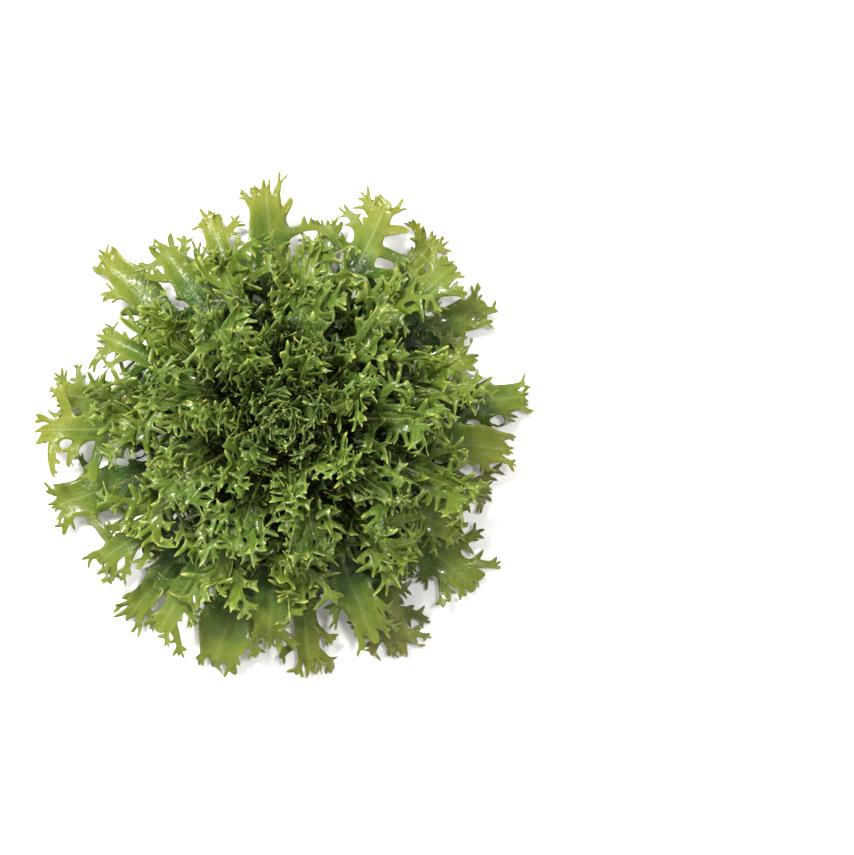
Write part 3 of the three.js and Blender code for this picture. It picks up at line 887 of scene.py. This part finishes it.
class Wire:
    """A node's output, with the operators of shader maths."""

    def __init__(self, tree: "NodeTree", socket: bpy.types.NodeSocket) -> None:
        """Wraps a socket of a tree."""
        self.tree = tree
        self.socket = socket

    def _math(self, operation: str, *values: Number) -> "Wire":
        """Adds a Math node."""
        inputs = dict(enumerate(values))
        return self.tree.node("ShaderNodeMath", {"operation": operation}, inputs)

    def __add__(self, other: Number) -> "Wire":
        """The sum."""
        return self._math("ADD", self, other)

    def __sub__(self, other: Number) -> "Wire":
        """The difference."""
        return self._math("SUBTRACT", self, other)

    def __mul__(self, other: Number) -> "Wire":
        """The product."""
        return self._math("MULTIPLY", self, other)

    def __radd__(self, other: float) -> "Wire":
        """The sum, number first."""
        return self._math("ADD", other, self)

    def __rsub__(self, other: float) -> "Wire":
        """The difference, number first."""
        return self._math("SUBTRACT", other, self)

    def __rmul__(self, other: float) -> "Wire":
        """The product, number first."""
        return self._math("MULTIPLY", other, self)

    def absolute(self) -> "Wire":
        """The size without the sign."""
        return self._math("ABSOLUTE", self)

    def fraction(self) -> "Wire":
        """The part past the last whole number."""
        return self._math("FRACT", self)

    def larger(self, other: Number) -> "Wire":
        """The larger of two."""
        return self._math("MAXIMUM", self, other)

    def clamp(self) -> "Wire":
        """Held between 0 and 1."""
        return self.tree.node("ShaderNodeClamp", {}, {0: self})

    def between(self, low: float, high: float) -> "Wire":
        """A share from 0 at low to 1 at high, with soft ends."""
        settings = {"interpolation_type": "SMOOTHSTEP"}
        return self.tree.node("ShaderNodeMapRange", settings, {"Value": self, 1: low, 2: high})


class NodeTree:
    """The nodes of one material."""

    # Veins to a metre along the rib and away from it, how far they wander and how narrow they are
    VEINS = (190.0, 150.0)
    WANDER = 2.2
    VEIN = (0.78, 1.0)

    # Distances in metres from the middle of the rib between which it ends
    MIDDLE = (0.0002, 0.0011)

    def __init__(self, name: str) -> None:
        """Starts a material with its surface shader.

        Args:
            name: The name of the material.
        """
        self.material = bpy.data.materials.new(name)
        self.material.use_nodes = True
        self.nodes = self.material.node_tree.nodes
        self.links = self.material.node_tree.links
        self.shader = self.nodes["Principled BSDF"]

    def node(
        self,
        kind: str,
        settings: "dict[str, object] | None" = None,
        inputs: "dict[str | int, object] | None" = None,
        output: "str | int" = 0,
    ) -> Wire:
        """Adds a node.

        Args:
            kind: The node's type.
            settings: Its settings, which are set first.
            inputs: Values or wires for its sockets.
            output: The output that is returned.

        Returns:
            That output.
        """
        node = self.nodes.new(kind)
        for key, value in (settings or {}).items():
            setattr(node, key, value)
        for key, value in (inputs or {}).items():
            self.feed(node.inputs[key], value)
        return Wire(self, node.outputs[output])

    def feed(self, socket: bpy.types.NodeSocket, value: object) -> None:
        """Links a wire to a socket or sets its value.

        Args:
            socket: The socket.
            value: A wire, a number, a vector or a colour.
        """
        if isinstance(value, Wire):
            self.links.new(value.socket, socket)
        elif isinstance(value, tuple) and len(value) == 3 and socket.type == "RGBA":
            socket.default_value = (*value, 1.0)
        else:
            socket.default_value = value

    def attribute(self, name: str) -> Wire:
        """A number stored on the mesh."""
        return self.node("ShaderNodeAttribute", {"attribute_name": name}, {}, "Fac")

    def place(self) -> Wire:
        """Where a point of the surface lies on the object."""
        return self.node("ShaderNodeTexCoord", {}, {}, "Object")

    def stretched(self, vector: Wire, by: tuple[float, float, float]) -> Wire:
        """A vector with its parts multiplied."""
        return self.node("ShaderNodeVectorMath", {"operation": "MULTIPLY"}, {0: vector, 1: by})

    def noise(
        self, scale: float, detail: float = 2.0, distortion: float = 0.0, at: "Wire | None" = None
    ) -> Wire:
        """Adds noise.

        Args:
            scale: The number of its cells to a metre.
            detail: How many finer layers it has.
            distortion: How far it is warped.
            at: Where it is read, if not at the surface's place on the object.

        Returns:
            Its values.
        """
        inputs = {"Vector": at or self.place(), "Scale": scale, "Detail": detail, "Distortion": distortion}
        return self.node("ShaderNodeTexNoise", {}, inputs, "Fac")

    def flat(self) -> tuple[Wire, Wire, Wire]:
        """Reads where a point lay on the flat leaf.

        Returns:
            Its place, and its distances along the rib and from it.
        """
        flat = self.node("ShaderNodeAttribute", {"attribute_name": "flat"}, {}, "Vector")
        along = self.node("ShaderNodeSeparateXYZ", {}, {0: flat}, 0)
        across = self.node("ShaderNodeSeparateXYZ", {}, {0: flat}, 1)
        return flat, along, across.absolute()

    def veins(self, along: Wire, across: Wire) -> Wire:
        """Draws the middle rib and the veins that lean away from it.

        Args:
            along: The distance along the rib.
            across: The distance from it.

        Returns:
            1 on a vein and 0 beside it.
        """
        steps = along * self.VEINS[0] - across * self.VEINS[1] + self.noise(260.0) * self.WANDER
        vein = ((steps.fraction() - 0.5) * 2.0).absolute().between(*self.VEIN)
        middle = 1 - across.between(*self.MIDDLE)
        return (vein * 0.6).larger(middle)

    def blend(self, share: Number, one: object, other: object) -> Wire:
        """A colour between two, by a share."""
        settings = {"data_type": "RGBA"}
        return self.node("ShaderNodeMix", settings, {0: share, 6: one, 7: other}, 2)

    def bump(self, height: Wire, strength: float, distance: float) -> Wire:
        """A bump from a height."""
        inputs = {"Height": height, "Strength": strength, "Distance": distance}
        return self.node("ShaderNodeBump", {}, inputs, "Normal")

    def surface(self, **sockets: object) -> bpy.types.Material:
        """Sets the surface shader's sockets.

        Args:
            sockets: Values or wires, with _ for the space in a socket's name.

        Returns:
            The material.
        """
        for key, value in sockets.items():
            self.feed(self.shader.inputs[key.replace("_", " ")], value)
        return self.material


@dataclass(frozen=True)
class LeafFinish:
    """The colours and gloss of a leaf.

    The colours are those of the fleshy rib, of the painted shade on the blade near the stump, of
    the blade in its middle and at its end, of the margins and of the ripest tips. The painted shade
    reach is the share of the leaf, from its root, up to which the blade is darkened with painted
    shade, standing in for the shade between the other leaves.
    """

    # Cells to a metre of the streaks and crinkles along, across and through the flat leaf
    STREAKS = (60.0, 1100.0, 60.0)
    CRINKLES = (800.0, 380.0, 380.0)

    # Cells to a metre of the patches and of the grain
    PATCHES = 70.0
    GRAIN = 900.0

    # The strength and height in metres of the relief, the refraction of the skin and the roughness
    # of the wet film on it
    RELIEF = (0.8, 0.0005)
    REFRACTION = 1.46
    FILM_ROUGHNESS = 0.13

    name: str
    flesh: Colour
    painted_shade: Colour
    blade: Colour
    end: Colour
    rim: Colour
    amber: Colour = (0.30, 0.24, 0.06)
    painted_shade_reach: float = 0.76
    roughness: float = 0.22
    gloss: float = 0.16
    wetness: float = 0.3

    def material(self) -> bpy.types.Material:
        """Builds the material.

        Returns:
            The material.
        """
        tree = NodeTree(self.name)
        rib, edge = tree.attribute("rib"), tree.attribute("edge")
        along, shade = tree.attribute("along"), tree.attribute("shade")
        patches, grain = tree.noise(self.PATCHES, 3.0, 0.4), tree.noise(self.GRAIN)
        flat, ahead, across = tree.flat()
        streaks = tree.noise(1.0, 3.0, 0.3, tree.stretched(flat, self.STREAKS))
        crinkles = tree.noise(1.0, 2.0, 0.6, tree.stretched(flat, self.CRINKLES))
        veins = tree.veins(ahead, across)

        # The blade is mottled and paler towards its end. Towards its root it is darkened with painted
        # shade, which stands in for the shade between the other leaves
        mottle = (patches - 0.5) * 0.9 + (shade - 0.5) * 0.5
        painted_shade_reach = (self.painted_shade_reach - along) * 1.4
        lower = tree.blend((0.55 + mottle - painted_shade_reach).between(0.0, 1.0), self.painted_shade, self.blade)
        ends = (along + mottle * 0.35 + edge * 0.08).between(0.7, 1.06)
        upper = tree.blend(ends, lower, self.end)

        # Streaks, veins and margins are paler than the blade, and some tips are ripe. The pale margins
        # are dimmed with painted shade where the blade has it
        streaked = tree.blend(streaks.between(0.45, 0.75) * 0.16 + veins * 0.2, upper, self.rim)
        rims = (edge.between(0.5, 1.05) * (shade * 1.5 + patches - 0.6)).clamp()
        # Outside the painted shade: 0 deep in it and 1 clear of it
        outside_painted_shade = (0.62 + mottle * 0.5 - painted_shade_reach).between(0.0, 0.7)
        ripe = (shade * 0.7 + patches * 0.6).between(0.88, 1.1) * edge
        tips = tree.blend(ripe, self.rim, self.amber)
        rimmed = tree.blend(rims * (outside_painted_shade * 0.79 + 0.05), streaked, tips)

        # The lower rib is pale flesh
        fleshy = rib.between(0.3, 1.0) * (1 - along.between(0.22, 0.5) * 0.96)
        colour = tree.blend(fleshy, rimmed, self.flesh)

        # The skin is crinkled, with the veins sunk in, and wet outside the painted shade
        rough = self.roughness + (grain - 0.5) * 0.2 + (patches - 0.5) * 0.3
        relief = streaks * 0.3 + grain * 0.3 + crinkles * 1.1 - veins * 0.5
        wet = outside_painted_shade * self.wetness * crinkles.between(0.42, 0.58)
        return tree.surface(
            Base_Color=colour,
            Roughness=rough,
            Normal=tree.bump(relief, *self.RELIEF),
            IOR=self.REFRACTION,
            Specular_IOR_Level=self.gloss,
            Coat_Weight=wet,
            Coat_Roughness=self.FILM_ROUGHNESS,
        )


FINISHES = {
    Tone.GREEN: LeafFinish(
        "leaf_green", (0.42, 0.44, 0.24), (0.004, 0.015, 0.004), (0.038, 0.098, 0.009),
        (0.098, 0.126, 0.014), (0.18, 0.20, 0.036),
    ),
    Tone.YELLOW: LeafFinish(
        "leaf_yellow", (0.45, 0.46, 0.26), (0.008, 0.024, 0.004), (0.056, 0.118, 0.009),
        (0.126, 0.142, 0.017), (0.21, 0.22, 0.040),
    ),
    Tone.OLIVE: LeafFinish(
        "leaf_olive", (0.38, 0.36, 0.2), (0.008, 0.020, 0.005), (0.048, 0.084, 0.012),
        (0.108, 0.116, 0.024), (0.18, 0.17, 0.048),
    ),
    # The painted shade reaches furthest up the middle, inner and heart leaves, past the heart's ends
    Tone.MIDDLE: LeafFinish(
        "leaf_middle", (0.28, 0.32, 0.14), (0.002, 0.008, 0.002), (0.017, 0.055, 0.004),
        (0.072, 0.112, 0.012), (0.28, 0.32, 0.058),
        painted_shade_reach=0.92, gloss=0.12, wetness=0.5,
    ),
    Tone.INNER: LeafFinish(
        "leaf_inner", (0.28, 0.32, 0.14), (0.002, 0.008, 0.002), (0.011, 0.043, 0.005),
        (0.054, 0.097, 0.013), (0.30, 0.34, 0.070),
        painted_shade_reach=0.98, gloss=0.1, wetness=0.6,
    ),
    Tone.HEART: LeafFinish(
        "leaf_heart", (0.28, 0.32, 0.14), (0.001, 0.006, 0.002), (0.008, 0.029, 0.006),
        (0.036, 0.072, 0.012), (0.30, 0.34, 0.090),
        painted_shade_reach=1.12, gloss=0.08, wetness=0.8,
    ),
}


@dataclass
class LeafRings:
    """All the leaves of the head."""

    rings: tuple[Ring, ...] = RINGS
    bud: Ring = BUD
    materials: dict[Tone, bpy.types.Material] = field(default_factory=dict)

    def material(self, tone: Tone) -> bpy.types.Material:
        """Makes the material of a tone, once.

        Args:
            tone: The tone.

        Returns:
            Its material.
        """
        if tone not in self.materials:
            self.materials[tone] = FINISHES[tone].material()
        return self.materials[tone]

    def drawings(self, ring: Ring, seed: int) -> Iterator[LeafDrawing]:
        """Draws a ring's leaves flat.

        Args:
            ring: The ring.
            seed: The seed of the ring, from which each leaf's own comes.

        Returns:
            The leaves, one after the other.
        """
        for i, place in enumerate(ring.places(Draw(seed))):
            drawing = LeafDrawing(ring, place, seed * 10 + i)
            drawing.draw_flat()
            yield drawing

    def dress(self, piece: bpy.types.Object, ring: Ring, tone: Tone, node: str) -> None:
        """Gives a piece its material and its place in the frame.

        Args:
            piece: The piece.
            ring: The ring that it belongs to; not used.
            tone: Its tone.
            node: The node that it stands for.
        """
        piece.data.materials.clear()
        piece.data.materials.append(self.material(tone))
        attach(piece, "root")
        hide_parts(node)
        LOG.info("%s: %d faces", piece.name, len(piece.data.polygons))

    def build(self) -> None:
        """Builds every leaf and the bud."""
        for r, ring in enumerate(self.rings):
            for i, drawing in enumerate(self.drawings(ring, FIRST_SEED + r)):
                node = f"{ring.name}_{i + 1:02d}"
                piece = MeshMaker.leaf(f"{node}_frond", [drawing])
                self.dress(piece, ring, drawing.place.tip.tone, node)
        drawings = list(self.drawings(self.bud, BUD_SEED))
        piece = MeshMaker.leaf("heart_bud_fronds", drawings)
        self.dress(piece, self.bud, self.bud.tone, "heart_bud")


@dataclass
class Stump:
    """The cut root stock: ridged where older leaves came off, and browned where it was cut."""

    sides: int = 120
    rows: int = 64
    face_rows: int = 14
    ridges: float = 0.2
    hollow: float = 0.4
    flesh: Colour = (0.74, 0.68, 0.40)
    greened: Colour = (0.42, 0.48, 0.16)
    browned: Colour = (0.30, 0.16, 0.06)
    pith: Colour = (0.82, 0.78, 0.58)

    # Radii in metres from which the brown ring in the cut face starts, is darkest and ends, and
    # those between which the cut face's edge turns brown
    BROWN_RING = (0.0085, 0.0105, 0.0135)
    BROWN_EDGE = (0.0155, 0.0185)

    # Heights in metres between which the sides turn green, and between which the cut face ends
    GREENING = (0.006, 0.026)
    CUT = (0.0006, 0.0016)

    def profile(self) -> list[Pair]:
        """Works out the outline.

        Returns:
            Radii and heights from the middle of the cut face over its edge to the growing tip.
        """
        foot = STUMP_OUTLINE[0][0]
        shares = [i / self.face_rows for i in range(1, self.face_rows)]
        face = [(foot * share, self.hollow * (1 - share**4)) for share in shares]
        radii, heights = zip(*STUMP_OUTLINE)
        levels = np.linspace(0.0, heights[-1] - 0.3, self.rows)
        return face + [(float(np.interp(level, heights, radii)), float(level)) for level in levels]

    def mesh(self) -> bpy.types.Mesh:
        """Turns the profile round the middle and roughens the sides.

        Returns:
            The closed mesh.
        """
        draw = Draw(BUD_SEED)
        waves = [(draw(0.6, 1.7), round(draw(2, 9)), draw(0, math.tau)) for _ in range(5)]
        profile = self.profile()
        points = [(0.0, 0.0, self.hollow)]
        for radius, height in profile:
            for i in range(self.sides):
                turn = math.tau * i / self.sides
                wave = sum(math.sin(height * fine + count * turn + at) for fine, count, at in waves)
                wide = radius - self.ridges * (1 + wave / len(waves)) * smooth(0, 2, height)
                points.append((wide * math.cos(turn), wide * math.sin(turn), height))
        points.append((0.0, 0.0, STUMP_OUTLINE[-1][1]))
        last, top = 1 + (len(profile) - 1) * self.sides, len(points) - 1
        faces: list[Row] = []
        for i in range(self.sides):
            after = (i + 1) % self.sides
            faces.append((0, 1 + after, 1 + i))
            for row in range(len(profile) - 1):
                low, high = 1 + row * self.sides, 1 + (row + 1) * self.sides
                faces.append((low + i, low + after, high + after, high + i))
            faces.append((last + i, last + after, top))
        mesh = bpy.data.meshes.new("stump_flesh")
        mesh.from_pydata([tuple(value * METRES for value in point) for point in points], [], faces)
        mesh.shade_smooth()
        return mesh

    def material(self) -> bpy.types.Material:
        """Builds the flesh, greener towards its top, with a browned edge and a pale pith.

        Returns:
            The material.
        """
        tree = NodeTree("stump_flesh")
        spread = tree.stretched(tree.place(), (1, 1, 0))
        radius = tree.node("ShaderNodeVectorMath", {"operation": "LENGTH"}, {0: spread}, "Value")
        height = tree.node("ShaderNodeSeparateXYZ", {}, {0: tree.place()}, 2)
        patches, grain = tree.noise(160.0, 4.0, 0.5), tree.noise(1200.0)
        side = tree.blend(height.between(*self.GREENING) * 0.7, self.flesh, self.greened)
        start, darkest, end = self.BROWN_RING
        ring = (radius + patches * 0.002).between(start, darkest) * (1 - radius.between(darkest, end))
        edge = (radius + patches * 0.003).between(*self.BROWN_EDGE)
        cut = tree.blend(ring * 0.45 + edge * 0.7 + grain * 0.1, self.pith, self.browned)
        skin = tree.blend(patches.between(0.5, 0.75) * 0.45, side, self.browned)
        colour = tree.blend(height.between(*self.CUT), cut, skin)
        relief = patches * 0.6 + grain * 0.4
        return tree.surface(Base_Color=colour, Roughness=0.5, Normal=tree.bump(relief, 0.5, 0.0006))

    def build(self) -> None:
        """Builds the stump."""
        piece = stand("stump_flesh", self.mesh())
        piece.data.materials.append(self.material())
        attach(piece, "root")
        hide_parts("stump")
        LOG.info("%s: %d faces", piece.name, len(piece.data.polygons))


# The lamps that hang over the table: name, place and size in metres, power in watts and colour
LAMPS = (
    ("key", (-0.8, 0.9, 1.7), 1.0, 64, (1.0, 0.98, 0.95)),
    ("glint", (-0.5, 0.8, 1.9), 0.24, 42, (1.0, 0.99, 0.97)),
    ("sparkle", (0.42, 0.15, 2.1), 0.2, 18, (1.0, 1.0, 1.0)),
)


@dataclass
class Studio:
    """The table, the lights and the camera.

    Lengths are in metres. The scale of the photograph holds at the sharp height above the table.
    """

    distance: float = 2.6
    sharp_height: float = 0.02
    film_width: float = 36.0
    table_size: float = 6.0
    panels: int = 6
    panel_radius: float = 1.5
    panel_height: float = 1.3
    panel_size: float = 0.9
    panel_power: float = 5.4
    panel_colour: Colour = (1.0, 0.955, 0.935)
    sky_colour: Colour = (1.0, 0.96, 0.91)
    sky_strength: float = 0.28

    def build_table(self) -> None:
        """Lays the pale table."""
        half = self.table_size / 2
        edges = [(-half, -half, 0), (half, -half, 0), (half, half, 0), (-half, half, 0)]
        mesh = bpy.data.meshes.new("table")
        mesh.from_pydata(edges, [], [(0, 1, 2, 3)])
        table = stand("table", mesh)
        tree = NodeTree("table_white")
        grain = tree.noise(900.0)
        colour = tree.blend(grain, (0.93, 0.93, 0.93), (0.95, 0.95, 0.95))
        mesh.materials.append(tree.surface(Base_Color=colour, Roughness=0.8))

    def light(self, name: str, at: Sequence[float], size: float, power: float, colour: Colour) -> None:
        """Hangs a square soft light that faces the head.

        Args:
            name: Its name.
            at: Its place.
            size: The length of its sides.
            power: Its power in watts.
            colour: Its colour.
        """
        lamp = bpy.data.lights.new(name, "AREA")
        lamp.size = size
        lamp.energy = power
        lamp.color = colour
        hung = stand(name, lamp)
        hung.location = at
        hung.rotation_euler = (-Vector(at)).to_track_quat("-Z", "Y").to_euler()

    def build_lights(self) -> None:
        """Lights the table softly from all sides, and more from the upper left."""
        for lamp in LAMPS:
            self.light(*lamp)
        for i in range(self.panels):
            turn = math.tau * i / self.panels
            x, y = self.panel_radius * math.cos(turn), self.panel_radius * math.sin(turn)
            at = (x, y, self.panel_height)
            self.light(f"panel_{i + 1}", at, self.panel_size, self.panel_power, self.panel_colour)
        world = bpy.data.worlds.new("studio")
        world.use_nodes = True
        sky = world.node_tree.nodes["Background"].inputs
        sky["Color"].default_value = (*self.sky_colour, 1.0)
        sky["Strength"].default_value = self.sky_strength
        bpy.context.scene.world = world

    def build_camera(self) -> None:
        """Hangs the camera straight above, with the head left of its middle."""
        camera = bpy.data.cameras.new("camera")
        camera.sensor_width = self.film_width
        width = PHOTO_SIZE[0] * MM_PER_PIXEL * METRES
        camera.lens = self.film_width * (self.distance - self.sharp_height) / width
        seat = stand("camera", camera)
        right = (PHOTO_SIZE[0] / 2 - HEAD_PIXEL[0]) * MM_PER_PIXEL * METRES
        down = (PHOTO_SIZE[1] / 2 - HEAD_PIXEL[1]) * MM_PER_PIXEL * METRES
        seat.location = (right, -down, self.distance)
        bpy.context.scene.camera = seat

    def build(self) -> None:
        """Sets up the studio."""
        self.build_camera()
        self.build_table()
        self.build_lights()
        bpy.context.scene.view_settings.view_transform = "Standard"
        LOG.info("studio ready")


def main() -> None:
    """Builds the head and the studio round it."""
    logging.basicConfig(level=logging.INFO, format="%(name)s: %(message)s")
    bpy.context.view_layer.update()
    Studio().build()
    Stump().build()
    LeafRings().build()


if __name__ == "__main__":
    main()
